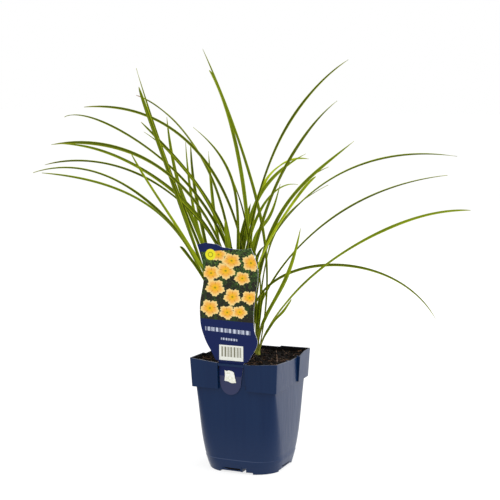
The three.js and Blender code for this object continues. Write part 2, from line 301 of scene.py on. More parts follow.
def makeLamps():
    for name, lamp in lamps.items():
        way = wayOut(lamp["azimuth"], lamp["elevation"])
        place = way * mm(lamp["distance"]) + Vector((0, 0, mm(lampsAround)))
        bpy.ops.object.light_add(type="AREA", location=place)
        light = bpy.context.object
        light.name = name
        light.rotation_euler = way.to_track_quat("Z", "Y").to_euler()
        light.data.size = mm(lamp["size"])
        light.data.energy = lamp["power"]


def makeSky():
    scene = bpy.context.scene
    scene.world = scene.world or bpy.data.worlds.new("studio")
    scene.world.use_nodes = True
    background = scene.world.node_tree.nodes["Background"]
    background.inputs["Color"].default_value = grey(1)
    background.inputs["Strength"].default_value = skyStrength
    scene.view_settings.view_transform = "Standard"
    scene.view_settings.look = "None"


studioFloor = {
    "half": 15000, "shade": 0.25, "mottle": 0.02, "mottleScale": 2.0, "roughness": 0.9, "glow": 0.76,
}


def makeFloor():
    bpy.ops.mesh.primitive_plane_add(size=2 * mm(studioFloor["half"]))
    floor = freshPiece("floor")
    material, tree, surface = newMaterial("paleFloor", Roughness=studioFloor["roughness"])
    mottle = patches(tree, objectPlace(tree), studioFloor["mottleScale"])["Mask"]
    shades = (grey(studioFloor["shade"] + more) for more in (0, studioFloor["mottle"]))
    tint = blend(tree, mottle, *shades)
    tree.links.new(tint, surface.inputs["Base Color"])
    surface.inputs["Specular IOR Level"].default_value = 0
    surface.inputs["Emission Strength"].default_value = studioFloor["glow"]
    surface.inputs["Emission Color"].default_value = grey(1)
    floor.data.materials.append(material)


makeCamera()
makeLamps()
makeSky()
makeFloor()
print("camera, floor and light ready")


# Heights are from the foot of the pot, and halves, reaches and backs from its middle.
pot = {
    "height": 136, "rimHalf": 55.3, "bandFoot": 101.5, "bandFootHalf": 53.5, "bandCorner": 1.6,
    "bodyHalf": 50.3, "bodyPull": 5.4, "bodyCurve": 4.5, "curveTop": 99.5, "bodyTop": 131.5,
    "footBends": (6, 12), "sideBends": (22, 30, 40, 52, 66, 82),
    "cornerAtBand": 4.6, "cornerGrowth": 28, "cornerCurve": 0.9, "cornerLeast": 1,
    "wall": 1.2, "sideBow": 0.5, "seamHeight": 16.3, "seamStep": 0.3, "seamHalf": 0.3,
    "rimShoulder": 12, "shoulderDip": 2, "sidePlaces": (-1, -0.66, -0.33, 0.33, 0.66, 1),
    "recessHalf": 16.5, "recessFoot": 96, "recessDraft": 3.2,
    "strap": (129.6, 132.4), "strapSetback": 0.2, "openLift": 6, "outside": 70, "overcut": 1,
    "footHalf": 21, "channelHeight": 2.2, "floorTop": 3.6, "footWidth": 9, "raisedHeight": 7,
    "slotTop": 6.2, "slotMargin": 0.2, "notchGap": 0.01, "drainRadius": 4, "drainReach": 25,
    "postRadius": 5, "roundSides": 32, "cornerSteps": 8, "sideCuts": 11,
    "edgeRound": 0.35, "roundSteps": 2, "roundFrom": 40, "smooth": 35,
}

# Each side of the pot, a quarter turn from the one before: how far its rim sags at the side places, its
# recess, and the slot and the notch in the foot of its wall.
potSides = {
    "front": {
        "rimDips": (0, 1.7, 3.4, 3.4, 1.7, 0), "recessShift": -3, "recessBack": 47.7,
        "slot": (-17, 6), "notch": (8.5, 13)},
    "right": {
        "rimDips": (0, 1.2, 2.6, 4, 0, 0), "recessShift": 2, "recessBack": 52, "recessTop": 131,
        "slot": (-16, 27)},
    "back": {
        "rimDips": (0, 0.2, 0.3, 0.3, 0.2, 0), "recessShift": 0, "recessBack": 52, "recessTop": 135.4,
        "slot": (-17, 6), "notch": (8.5, 13)},
    "left": {
        "rimDips": (0, 0.5, 1, 1, 0.5, 0), "recessShift": 0, "recessBack": 52, "recessTop": 134.6,
        "slot": (-16, 27)},
}


def sideAt(x, y):
    if abs(x) > abs(y):
        return potSides["right" if x > 0 else "left"]
    return potSides["back" if y > 0 else "front"]


def bodyAt(height):
    drop = max(0, 1 - height / pot["curveTop"])
    half = pot["bodyHalf"] - pot["bodyPull"] * drop ** pot["bodyCurve"]
    corner = pot["cornerAtBand"] + pot["cornerGrowth"] * drop ** pot["cornerCurve"]
    return (half + pot["seamStep"] if height < pot["seamHeight"] else half), corner


# The sag of the rim at a place along a side, from -1 at one corner to 1 at the other.
def rimDipAt(place, side):
    places, dips = pot["sidePlaces"], side["rimDips"]
    for start, end, low, high in zip(places, places[1:], dips, dips[1:]):
        if place <= end:
            share = (1 - math.cos(math.pi * (place - start) / (end - start))) / 2
            return low + (high - low) * share
    return 0


# One square outline with round corners and bowed sides. With sag it follows the height of the rim.
def addOutline(height, half, corner, sag=False):
    bpy.ops.mesh.primitive_plane_add(size=2 * mm(half), location=(0, 0, mm(height)))
    outline = bpy.context.object
    bpy.ops.object.mode_set(mode="EDIT")
    bpy.ops.mesh.select_all(action="SELECT")
    bpy.ops.mesh.bevel(offset=mm(corner), segments=pot["cornerSteps"], affect="VERTICES")
    bpy.ops.mesh.delete(type="ONLY_FACE")
    straight = mm(half - corner)
    selectParts(outline, "EDGE", lambda edge: edge.calc_length() > 1.9 * straight)  # the four long edges
    bpy.ops.mesh.subdivide(number_cuts=pot["sideCuts"])
    closeEdit()
    for vertex in outline.data.vertices:
        out = 0 if abs(vertex.co.x) > abs(vertex.co.y) else 1
        place = vertex.co[1 - out] / straight
        if abs(place) <= 1:
            vertex.co[out] += math.copysign(mm(pot["sideBow"]) * (1 - place ** 2), vertex.co[out])
            if sag:
                vertex.co.z -= mm(rimDipAt(place, sideAt(vertex.co.x, vertex.co.y)))
    return outline


# A closed block through outlines at several levels.
def loftedBlock(levels):
    block = addOutline(*levels[0])
    ring = len(block.data.vertices)
    for level in levels[1:]:
        start = len(block.data.vertices) - ring
        takeUp(block, addOutline(*level))
        bpy.ops.object.join()
        selectParts(block, "EDGE", lambda edge: min(vertex.index for vertex in edge.verts) >= start)
        bpy.ops.mesh.bridge_edge_loops()
        closeEdit()
    settle(block)
    top = len(block.data.vertices) - ring
    selectParts(block, "EDGE", lambda edge: max(vertex.index for vertex in edge.verts) < ring)
    bpy.ops.mesh.edge_face_add()
    selectParts(block, "EDGE", lambda edge: min(vertex.index for vertex in edge.verts) >= top)
    bpy.ops.mesh.edge_face_add()
    bpy.ops.mesh.select_all(action="SELECT")
    bpy.ops.mesh.normals_make_consistent(inside=False)
    closeEdit()
    return block


def bodyBlock(inset, foot, lift):
    seam = [pot["seamHeight"] + step for step in (-pot["seamHalf"], pot["seamHalf"])]
    levels = []
    for height in (foot, *pot["footBends"], *seam, *pot["sideBends"], pot["curveTop"]):
        half, corner = bodyAt(height)
        levels.append((height, half - inset, max(corner - inset, pot["cornerLeast"])))
    topCorner = max(pot["cornerAtBand"] - inset, pot["cornerLeast"])
    return loftedBlock(levels + [(pot["bodyTop"] + lift, pot["bodyHalf"] - inset, topCorner)])


# What the recess of a side takes away, drawn at the front. It reaches past its back wall by reach.
def recessCutter(name, half, reach, foot):
    shift, back = potSides[name]["recessShift"], potSides[name]["recessBack"]
    top = pot["height"] + 2 * pot["openLift"]
    return cutter((shift - half, -pot["outside"], foot), (shift + half, reach - back, top))


def bandBlock(inset, lift):
    top = pot["height"] + lift
    band = loftedBlock([
        (pot["bandFoot"] + inset, pot["bandFootHalf"] - inset, pot["bandCorner"]),
        (top, pot["rimHalf"] - inset, pot["bandCorner"], True),
        (top - pot["shoulderDip"], pot["rimHalf"] - pot["rimShoulder"], pot["bandCorner"]),
    ])
    for number, name in enumerate(potSides):
        recess = recessCutter(name, pot["recessHalf"] + inset, inset, pot["recessFoot"])
        for vertex in recess.data.vertices:
            if name == "front" and vertex.co.x > 0 and vertex.co.z < mm(pot["bandFoot"]):
                vertex.co.x += mm(pot["recessDraft"])
        combined(band, turned(recess, 90 * number), "DIFFERENCE")
    return band


# The outer form of the pot, drawn in all round by inset; lift raises its open top.
def potForm(inset, foot, lift):
    return combined(bodyBlock(inset, foot, lift), bandBlock(inset, lift), "UNION")


def addDisc(x, radius, foot, top):
    middle = (mm(x), 0, mm(foot + top) / 2)
    bpy.ops.mesh.primitive_cylinder_add(
        vertices=pot["roundSides"], radius=mm(radius), depth=mm(top - foot), location=middle)
    return settle(bpy.context.object)


# The middle of the foot, inside the ring of the feet, drawn out all round by grow.
def middleBlock(grow, foot, top):
    half, corner = bodyAt(0)
    inset = pot["footWidth"] - grow
    return loftedBlock([(height, half - inset, corner - inset) for height in (foot, top)])


# The raised middle of the floor and the roofs over the notches.
def raisedFloor():
    wall, top, out = pot["wall"], pot["raisedHeight"] + pot["wall"], pot["outside"]
    floor = middleBlock(wall, 0, top)
    for number, side in enumerate(potSides.values()):
        if "notch" in side:
            start, end = side["notch"]
            roof = cutter((start - wall, -out, 0), (end + wall, -pot["footHalf"], top))
            combined(floor, turned(roof, 90 * number), "UNION")
    return combined(floor, bodyBlock(0, 0, 0), "INTERSECT")


def cutFoot(piece):
    out, low, half = pot["outside"], -pot["overcut"], pot["footHalf"]
    combined(piece, cutter((-half, -out, low), (half, out, pot["channelHeight"])), "DIFFERENCE")
    combined(piece, cutter((-out, -half, low), (out, half, pot["channelHeight"])), "DIFFERENCE")
    combined(piece, middleBlock(0, low, pot["raisedHeight"]), "DIFFERENCE")
    inside = pot["wall"] + pot["slotMargin"] - bodyAt(pot["slotTop"])[0]
    for number, side in enumerate(potSides.values()):
        start, end = side["slot"]
        slot = cutter((start, -out, low), (end, inside, pot["slotTop"]))
        combined(piece, turned(slot, 90 * number), "DIFFERENCE")
        if "notch" in side:
            start, end = side["notch"]
            notch = cutter((start, -out, low), (end, -half, pot["raisedHeight"] - pot["notchGap"]))
            combined(piece, turned(notch, 90 * number), "DIFFERENCE")
        drainTop = pot["raisedHeight"] + pot["wall"] + pot["overcut"]
        drain = addDisc(pot["drainReach"], pot["drainRadius"], low, drainTop)
        combined(piece, turned(drain, 90 * number), "DIFFERENCE")
    post = addDisc(0, pot["postRadius"], 0, pot["raisedHeight"] + pot["wall"] / 2)
    combined(piece, post, "UNION")


# The strap across the recess of the front.
def strapBar():
    half = pot["recessHalf"] + pot["wall"] / 2
    outer = pot["rimHalf"] - pot["strapSetback"]
    shift = potSides["front"]["recessShift"]
    foot, top = pot["strap"]
    return cutter((shift - half, -outer, foot), (shift + half, pot["wall"] - outer, top))


def makePot():
    piece = potForm(0, 0, 0)
    combined(piece, potForm(pot["wall"], pot["floorTop"], pot["openLift"]), "DIFFERENCE")
    for number, (name, side) in enumerate(potSides.items()):
        if "recessTop" in side:
            above = recessCutter(name, pot["recessHalf"], 2 * pot["wall"], side["recessTop"])
            combined(piece, turned(above, 90 * number), "DIFFERENCE")
    combined(piece, raisedFloor(), "UNION")
    cutFoot(piece)
    combined(piece, strapBar(), "UNION")
    applied(piece, "BEVEL", width=mm(pot["edgeRound"]), segments=pot["roundSteps"], limit_method="ANGLE",
            angle_limit=math.radians(pot["roundFrom"]), use_clamp_overlap=True)
    piece.name = "potShell"
    return smoothed(piece, pot["smooth"])


potLook = {
    "shade": (0.001, 0.0132, 0.055, 1), "paler": (0.002, 0.016, 0.060, 1), "palerRange": (0.35, 0.7),
    # The colour that the lower walls turn towards is a painted reflection of the white floor.
    "floorReflection": (0.008, 0.022, 0.068, 1), "floorReflectionTop": 70, "index": 1.2, "roughness": (0.36, 0.5),
    "coat": 0.65, "coatIndex": 1.2, "coatRoughness": 0.2, "streaks": (120.0, 6.0),
    "grain": 900.0, "grainShare": 0.5,
    # The seam colour is a painted highlight along the small ledge at the seam.
    "seam": (0.045, 0.065, 0.13, 1), "seamHighlightRange": (0.45, 0.1), "seamHighlightFade": (50, 20),
    # The dark brown on the inner faces near the top is painted shade with a soil-stain mottle.
    "stainAndShade": (0.005, 0.004, 0.0035, 1), "stainAndShadeRange": (124, 126), "stainAndShadeGrain": (0.30, 0.42, 0.55, 1.0),
    "innerShare": 0.6, "sideFrom": 40, "recessMargins": (3, 0.6), "bump": (0.15, 0.12),
}


# 1 on the inner faces of the pot: behind the back wall of a recess, or inside the band beside it.
def innerFaces(tree, parts):
    flat = [calc(tree, "ABSOLUTE", parts[axis]) for axis in "XY"]
    widest, least = calc(tree, "MAXIMUM", *flat), calc(tree, "MINIMUM", *flat)
    leftOrBack = calc(tree, "MAXIMUM", parts["Y"], calc(tree, "MULTIPLY", parts["X"], -1))
    onLeftOrBack = calc(tree, "GREATER_THAN", leftOrBack, potLook["sideFrom"])
    wide, tight = (pot["recessHalf"] + margin for margin in potLook["recessMargins"])
    atRecess = calc(tree, "LESS_THAN", least, calc(tree, "MULTIPLY_ADD", onLeftOrBack, tight - wide, wide))
    onFront = calc(tree, "LESS_THAN", parts["Y"], -potLook["sideFrom"])
    middle, frontMiddle = (potSides[name]["recessBack"] - pot["wall"] / 2 for name in ("right", "front"))
    recessWall = calc(tree, "MULTIPLY_ADD", onFront, frontMiddle - middle, middle)
    insideRecess = calc(tree, "MULTIPLY", calc(tree, "LESS_THAN", widest, recessWall), atRecess)
    slant = (pot["rimHalf"] - pot["bandFootHalf"]) / (pot["height"] - pot["bandFoot"])
    upright = calc(tree, "SUBTRACT", widest, calc(tree, "MULTIPLY", parts["Z"], slant))
    innerPlace = pot["rimHalf"] - slant * pot["height"] - potLook["innerShare"] * pot["wall"]
    insideBand = calc(tree, "SUBTRACT", calc(tree, "LESS_THAN", upright, innerPlace), atRecess, clamp=True)
    return calc(tree, "ADD", insideRecess, insideBand)


def potPlastic():
    material, tree, surface = newMaterial("satinBluePlastic", IOR=potLook["index"])
    surface.inputs["Coat Weight"].default_value = potLook["coat"]
    surface.inputs["Coat IOR"].default_value = potLook["coatIndex"]
    surface.inputs["Coat Roughness"].default_value = potLook["coatRoughness"]
    place = objectPlace(tree)
    parts = coordinates(tree, place)
    streaks = patches(tree, place, *potLook["streaks"])
    grain = patches(tree, place, potLook["grain"])["Mask"]
    paler = ranged(tree, streaks["Mask"], *potLook["palerRange"])
    colour = blend(tree, paler, potLook["shade"], potLook["paler"])
    # Paler towards the foot: a painted reflection of the white floor in the lower walls.
    low = ranged(tree, parts["Z"], potLook["floorReflectionTop"], 0)
    colour = blend(tree, low, colour, potLook["floorReflection"])
    # A pale line at the seam height, fading towards the corners: a painted highlight where the ledge of the
    # seam catches the light.
    off = calc(tree, "ABSOLUTE", calc(tree, "SUBTRACT", parts["Z"], pot["seamHeight"]))
    nearSeamHighlight = ranged(tree, off, *potLook["seamHighlightRange"])
    seam = calc(tree, "MULTIPLY", nearSeamHighlight, ranged(tree, parts["X"], *potLook["seamHighlightFade"]))
    colour = blend(tree, seam, colour, potLook["seam"])
    # Dark brown on the inner faces near the top of the wall: painted shade inside the rim, mottled like a
    # soil stain.
    high = ranged(tree, parts["Z"], *potLook["stainAndShadeRange"])
    stainedAndShaded = calc(tree, "MULTIPLY", innerFaces(tree, parts), high)
    stainAndShade = calc(tree, "MULTIPLY", stainedAndShaded, ranged(tree, grain, *potLook["stainAndShadeGrain"]))
    colour = blend(tree, stainAndShade, colour, potLook["stainAndShade"])
    tree.links.new(colour, surface.inputs["Base Color"])
    satin = ranged(tree, streaks["Fine"], *unevenRange, *potLook["roughness"])
    tree.links.new(calc(tree, "MAXIMUM", satin, stainedAndShaded), surface.inputs["Roughness"])
    height = calc(tree, "ADD", streaks["Fine"], calc(tree, "MULTIPLY", grain, potLook["grainShare"]))
    bumped(tree, surface, height, *potLook["bump"])
    return material


potPiece = makePot()
dress(potPiece, "pot", potPlastic())
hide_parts("pot")
print("pot ready")


# Each wave holds its beat and its start, across the front and then into the depth.
soil = {
    "top": 130, "crownRise": 1.4, "crownAt": (-12, 4), "crownSpread": 30,
    "lumpRise": 1.1, "lumpWaves": (0.31, 0.6, 0.27, -0.4),
    "crumbRise": 0.7, "crumbWaves": (0.83, 1.7, 0.71, 0.4),
    "roughness": 1.1, "noiseSize": 5.5, "fractal": (0.8, 2.2, 4), "cells": 150, "margin": 3, "depth": 40,
    "foot": 2, "upperPart": 10, "lift": 8, "reach": 52.3, "recessMargin": 2, "smooth": 50,
}


def soilSurface(x, y):
    crownX, crownY = soil["crownAt"]
    fromCrown = (x - crownX) ** 2 + (y - crownY) ** 2
    crown = soil["crownRise"] * math.exp(-fromCrown / soil["crownSpread"] ** 2)
    beatX, startX, beatY, startY = soil["lumpWaves"]
    lumps = soil["lumpRise"] * math.sin(x * beatX + startX) * math.cos(y * beatY + startY)
    beatX, startX, beatY, startY = soil["crumbWaves"]
    clods = soil["crumbRise"] * math.sin(x * beatX + startX) * math.sin(y * beatY + startY)
    rough = soil["roughness"] * noise.fractal(Vector((x, y, 0)) / soil["noiseSize"], *soil["fractal"])
    return soil["top"] + crown + lumps + clods + rough


# A loose copy of a CAD node, with its triangles merged.
def copyOfNode(node, name):
    piece = copied(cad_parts[node], name)
    piece.parent = None
    for key in list(piece.keys()):
        del piece[key]
    piece.data.materials.clear()
    selectParts(piece, "VERT", lambda vertex: True)
    bpy.ops.mesh.remove_doubles(threshold=1e-6)
    closeEdit()
    return piece


# A block under the fine soil surface, wider than the pot.
def terrainBlock():
    _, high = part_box("soil")
    cells, size = soil["cells"], 2 * (max(high.x, high.y) + mm(soil["margin"]))
    bpy.ops.mesh.primitive_grid_add(
        x_subdivisions=cells, y_subdivisions=cells, size=size, location=(0, 0, mm(soil["top"])))
    block = settle(freshPiece("soilTop"))
    for vertex in block.data.vertices:
        vertex.co.z = mm(soilSurface(vertex.co.x * 1000, vertex.co.y * 1000))
    selectParts(block, "FACE", lambda face: True)
    bpy.ops.mesh.extrude_region_move(TRANSFORM_OT_translate={"value": (0, 0, -mm(soil["depth"]))})
    closeEdit()
    for vertex in block.data.vertices:
        if vertex.co.z < mm(soil["top"] - soil["depth"] / 2):
            vertex.co.z = mm(soil["foot"])
    selectParts(block, "FACE", lambda face: True)
    bpy.ops.mesh.normals_make_consistent(inside=False)
    closeEdit()
    return block


def makeSoil():
    filling = copyOfNode("soil", "soilFilling")
    for vertex in filling.data.vertices:
        if vertex.co.z > mm(soil["top"] - soil["upperPart"]):
            vertex.co.z += mm(soil["lift"])
    return smoothed(combined(filling, terrainBlock(), "INTERSECT"), soil["smooth"])


def onSoil(x, y):
    side = sideAt(x, y)
    out, along = (x, y) if abs(x) > abs(y) else (y, x)
    nearRecess = abs(along - side["recessShift"]) < pot["recessHalf"] + soil["recessMargin"]
    limit = side["recessBack"] - soil["recessMargin"] if nearRecess else soil["reach"]
    return abs(out) < limit


soilLook = {
    "dark": (0.0022, 0.0017, 0.0015, 1), "brown": (0.011, 0.007, 0.005, 1), "brownRange": (0.4, 0.75),
    "rust": (0.055, 0.022, 0.010, 1), "rustClods": (0.55, 0.75), "rustGrit": (0.4, 0.6),
    "roughness": 0.88, "gleam": 0.1, "clods": 160.0, "grit": 900.0, "bump": (0.8, 0.5),
}


def peatMaterial():
    material, tree, surface = newMaterial("moistPeat", Roughness=soilLook["roughness"])
    surface.inputs["Specular IOR Level"].default_value = soilLook["gleam"]
    place = objectPlace(tree)
    clods, grit = (patches(tree, place, soilLook[size]) for size in ("clods", "grit"))
    brownish = ranged(tree, grit["Mask"], *soilLook["brownRange"])
    brown = blend(tree, brownish, soilLook["dark"], soilLook["brown"])
    rustyClods = ranged(tree, clods["Mask"], *soilLook["rustClods"])
    rusty = calc(tree, "MULTIPLY", rustyClods, ranged(tree, grit["Fine"], *soilLook["rustGrit"]))
    tree.links.new(blend(tree, rusty, brown, soilLook["rust"]), surface.inputs["Base Color"])
    bumped(tree, surface, calc(tree, "ADD", grit["Mask"], grit["Fine"]), *soilLook["bump"])
    return material


fibreLook = {
    "rust": (0.055, 0.022, 0.010, 1), "fibre": (0.20, 0.10, 0.05, 1), "fibreRange": (0.35, 0.65),
    "straw": (0.42, 0.27, 0.13, 1), "strawRange": (0.6, 0.75), "roughness": 0.8, "tones": 140.0,
    "bump": (0.4, 0.1),
}


def fibreMaterial():
    material, tree, surface = newMaterial("dryFibre", Roughness=fibreLook["roughness"])
    tone = patches(tree, objectPlace(tree), fibreLook["tones"])
    brownish = ranged(tree, tone["Mask"], *fibreLook["fibreRange"])
    colour = blend(tree, brownish, fibreLook["rust"], fibreLook["fibre"])
    pale = ranged(tree, tone["Fine"], *fibreLook["strawRange"])
    tree.links.new(blend(tree, pale, colour, fibreLook["straw"]), surface.inputs["Base Color"])
    bumped(tree, surface, tone["Fine"], *fibreLook["bump"])
    return material


crumbs = {
    "seed": 11, "models": 4, "unevenness": 0.45,
    "small": {"count": 1500, "detail": 1, "size": (0.6, 1.5)},
    "large": {"count": 190, "detail": 2, "size": (1.5, 3.0)},
    "rise": 0.2, "long": (0.7, 1.2), "flat": (0.5, 1.0), "tilt": 0.5, "smooth": 60,
}


def soilPlace(draw):
    while True:
        x, y = (draw.uniform(-soil["reach"], soil["reach"]) for _ in range(2))
        if onSoil(x, y):
            return x, y


def makeCrumbs():
    draw = random.Random(crumbs["seed"])
    made = []
    for kind in ("small", "large"):
        settings = crumbs[kind]
        models = []
        for _ in range(crumbs["models"]):
            bpy.ops.mesh.primitive_ico_sphere_add(subdivisions=settings["detail"], radius=0.5)
            for vertex in bpy.context.object.data.vertices:
                vertex.co *= 1 + crumbs["unevenness"] * draw.uniform(-1, 1)
            models.append(bpy.context.object)
        for number in range(settings["count"]):
            x, y = soilPlace(draw)
            size = draw.uniform(*settings["size"])
            place = Vector((mm(x), mm(y), mm(soilSurface(x, y) + crumbs["rise"] * size)))
            length = draw.uniform(*crumbs["long"])
            scale = [mm(size) * length, mm(size), mm(size) * draw.uniform(*crumbs["flat"])]
            tilt = crumbs["tilt"]
            turn = [draw.uniform(-tilt, tilt), draw.uniform(-tilt, tilt), draw.uniform(0, math.tau)]
            crumb = copied(models[number % len(models)], "crumb")
            crumb.location, crumb.rotation_euler, crumb.scale = place, turn, scale
            made.append(crumb)
        for model in models:
            bpy.data.objects.remove(model)
    return smoothed(joined("soilCrumbs", made), crumbs["smooth"])


fibres = {
    "seed": 5, "count": 110, "points": 6, "step": (1.6, 3.8), "radius": (0.1, 0.25), "rise": (0.2, 2.2),
    "sink": 0.1, "swing": 0.9, "nudge": 0.1, "taper": 0.6, "steps": 3, "roundness": 1, "smooth": 60,
    "root": [(51.5, -47), (40.5, -18), (29.5, 10), (13.5, 47)], "rootRadius": 0.55, "rootRise": 0.8,
}


def fibreCurve(name, radius, places):
    curve = bpy.data.curves.new("fibre", "CURVE")
    curve.dimensions = "3D"
    curve.bevel_depth = mm(radius)
    curve.bevel_resolution = fibres["roundness"]
    curve.resolution_u = fibres["steps"]
    curve.use_fill_caps = True
    spline = curve.splines.new("NURBS")
    spline.points.add(len(places) - 1)
    for index, (point, place) in enumerate(zip(spline.points, places)):
        point.co = (*(mm(value) for value in place), 1)
        point.radius = 1 - fibres["taper"] * index / len(places)
    spline.use_endpoint_u = True
    spline.order_u = 3
    piece = bpy.data.objects.new(name, curve)
    bpy.context.scene.collection.objects.link(piece)
    return piece


# A fibre that wanders over the soil in a low arch.
def fibreRoute(draw):
    x, y = soilPlace(draw)
    heading = draw.uniform(0, math.tau)
    step = draw.uniform(*fibres["step"])
    rise = draw.uniform(*fibres["rise"])
    places = []
    for index in range(fibres["points"]):
        lift = rise * math.sin(math.pi * index / (fibres["points"] - 1)) - fibres["sink"]
        places.append((x, y, soilSurface(x, y) + lift))
        heading += draw.uniform(-fibres["swing"], fibres["swing"])
        nextX, nextY = x + step * math.cos(heading), y + step * math.sin(heading)
        if not onSoil(nextX, nextY):
            heading += math.pi / 2
            nextX, nextY = x, y + fibres["nudge"]
        x, y = nextX, nextY
    return places


def makeFibres():
    draw = random.Random(fibres["seed"])
    root = [(x, y, soilSurface(x, y) + fibres["rootRise"]) for x, y in fibres["root"]]
    made = [fibreCurve("root", fibres["rootRadius"], root)]
    for number in range(fibres["count"]):
        places = fibreRoute(draw)
        made.append(fibreCurve(f"fibre{number}", draw.uniform(*fibres["radius"]), places))
    takeUp(*made)
    bpy.ops.object.convert(target="MESH")
    return smoothed(joined("soilFibres", made), fibres["smooth"])


soilPiece = makeSoil()
peat = peatMaterial()
dress(soilPiece, "soil", peat)
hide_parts("soil")
dress(makeCrumbs(), "soil", peat)
dress(makeFibres(), "soil", fibreMaterial())
print("soil ready")


# left and right are the edges of the plate as (x, height), from the top down.
label = {
    "left": [
        (-47, 270), (-39.6, 248), (-38, 228), (-42, 203), (-42.4, 186), (-41.2, 172.5), (-35.5, 156.5),
        (-27.5, 143.5), (-23.2, 136), (-19, 133.4), (-18.1, 118), (-16.5, 105), (-12, 98), (-6.5, 95.4)],
    "right": [
        (21.8, 268.8), (28.8, 249.5), (29.6, 233), (26.3, 213), (25, 193), (26.2, 174), (30.1, 159),
        (22.5, 143.5), (17.3, 136), (13, 133.4), (10, 118), (8, 105), (3.2, 98), (-2.3, 95.4)],
    "topRise": [0, 2.5, 1.9, -1.5, -2.4, -2.7, 0], "riseShare": 4 / 33,
    "plane": -51.9, "thickness": 0.7, "wave": 1.6, "waveFrom": 136, "waveTo": 190,
    "waveFoot": 140, "waveUp": 0.045, "waveAcross": 0.03, "columns": 24, "rows": 99, "smooth": 40,
}


# A point on the smooth curve through the points, for place from 0 to 1.
def throughPoints(points, place):
    spot = (len(points) - 1) * place
    first = min(int(spot), len(points) - 2)
    t = spot - first
    a, b, c, d = (Vector(points[min(max(first + step, 0), len(points) - 1)]) for step in (-1, 0, 1, 2))
    start, end = (c - a) / 2, (d - b) / 2
    cubic, square = 2 * b - 2 * c + start + end, 3 * c - 3 * b - 2 * start - end
    return cubic * t ** 3 + square * t ** 2 + start * t + b


def smoothStep(value, start, end):
    t = min(1, max(0, (value - start) / (end - start)))
    return t * t * (3 - 2 * t)


def topRise(across):
    rises = label["topRise"]
    spot = across * (len(rises) - 1)
    first = min(int(spot), len(rises) - 2)
    return rises[first] + (rises[first + 1] - rises[first]) * smoothStep(spot - first, 0, 1)


def makeLabel(*materials):
    bpy.ops.mesh.primitive_grid_add(x_subdivisions=label["columns"], y_subdivisions=label["rows"], size=1)
    piece = freshPiece("labelPlate")
    for vertex in piece.data.vertices:
        across, down = vertex.co.x + 0.5, 0.5 - vertex.co.y
        point = throughPoints(label["left"], down).lerp(throughPoints(label["right"], down), across)
        x = point.x
        z = point.y + topRise(across) * max(0, 1 - down / label["riseShare"])
        free = smoothStep(z, label["waveFrom"], label["waveTo"])
        sway = math.sin((z - label["waveFoot"]) * label["waveUp"] + x * label["waveAcross"])
        y = label["plane"] - label["wave"] * free * sway
        vertex.co = (mm(x), mm(y), mm(z))
    for material in materials:
        piece.data.materials.append(material)
    applied(piece, "SOLIDIFY", thickness=mm(label["thickness"]), offset=-1,
            material_offset=1, material_offset_rim=1)
    return smoothed(piece, label["smooth"])


blossoms = {
    "petals": 5, "depth": 0.36, "lobes": 0.7, "notches": 0.3, "frill": 0.05, "frillBeat": 17.0,
    "radius": (9, 12.2), "squash": (1.0, 1.35), "first": (-29, 196), "pitch": (20.5, 20),
    "rows": 4, "columns": 3, "jitter": 5, "seed": 11,
    "petal": (0.78, 0.38, 0.07, 1), "petalRange": (1.0, 0.93),
    "rim": (0.80, 0.60, 0.24, 1), "rimRange": (0.5, 0.98),
    "crease": (0.46, 0.17, 0.015, 1), "creaseWidth": (0.4, 0.0), "creaseLength": (1.0, 0.6),
    "throat": (0.76, 0.42, 0.012, 1), "throatRange": (0.62, 0.15),
    "heart": (0.30, 0.24, 0.01, 1), "heartRange": (0.16, 0.08),
}


# One round blossom with even petals. Petal, Throat and Heart are masks, Crease marks the lines between
# the petals and Spread runs from the middle to the rim.
def makeBlossomGroup():
    inputs = {
        "AcrossPlace": 0.0, "UpPlace": 0.0, "MiddleX": 0.0, "MiddleZ": 0.0, "Radius": 7.0, "Squash": 1.0,
        "Turn": 0.0,
    }
    outputs = ["Petal", "Throat", "Heart", "Crease", "Spread"]
    tree, source, result = newGroup("roundBlossom", inputs, outputs)
    x = calc(tree, "SUBTRACT", source["AcrossPlace"], source["MiddleX"])
    rise = calc(tree, "SUBTRACT", source["UpPlace"], source["MiddleZ"])
    z = calc(tree, "MULTIPLY", rise, source["Squash"])
    reach = distance(tree, x, z)
    angle = calc(tree, "ADD", calc(tree, "ARCTAN2", z, x), source["Turn"])
    halfBeat = calc(tree, "MULTIPLY", angle, blossoms["petals"] / 2)
    lobe, notch = (calc(tree, "ABSOLUTE", calc(tree, wave, halfBeat)) for wave in ("COSINE", "SINE"))
    bulge = calc(tree, "MULTIPLY", calc(tree, "SQRT", lobe), blossoms["lobes"])
    outline = calc(tree, "SUBTRACT", bulge, calc(tree, "MULTIPLY", notch, blossoms["notches"]))
    ripple = calc(tree, "SINE", calc(tree, "MULTIPLY", angle, blossoms["frillBeat"]))
    petals = calc(tree, "MULTIPLY_ADD", outline, blossoms["depth"], 1 - blossoms["depth"] / 2)
    edge = calc(tree, "ADD", petals, calc(tree, "MULTIPLY", ripple, blossoms["frill"]))
    spread = calc(tree, "DIVIDE", reach, calc(tree, "MULTIPLY", edge, source["Radius"]))
    share = calc(tree, "DIVIDE", reach, source["Radius"])
    narrow = ranged(tree, lobe, *blossoms["creaseWidth"])
    crease = calc(tree, "MULTIPLY", narrow, ranged(tree, spread, *blossoms["creaseLength"]))
    tree.links.new(ranged(tree, spread, *blossoms["petalRange"]), result["Petal"])
    tree.links.new(ranged(tree, share, *blossoms["throatRange"]), result["Throat"])
    tree.links.new(ranged(tree, share, *blossoms["heartRange"]), result["Heart"])
    tree.links.new(crease, result["Crease"])
    tree.links.new(spread, result["Spread"])
    return tree


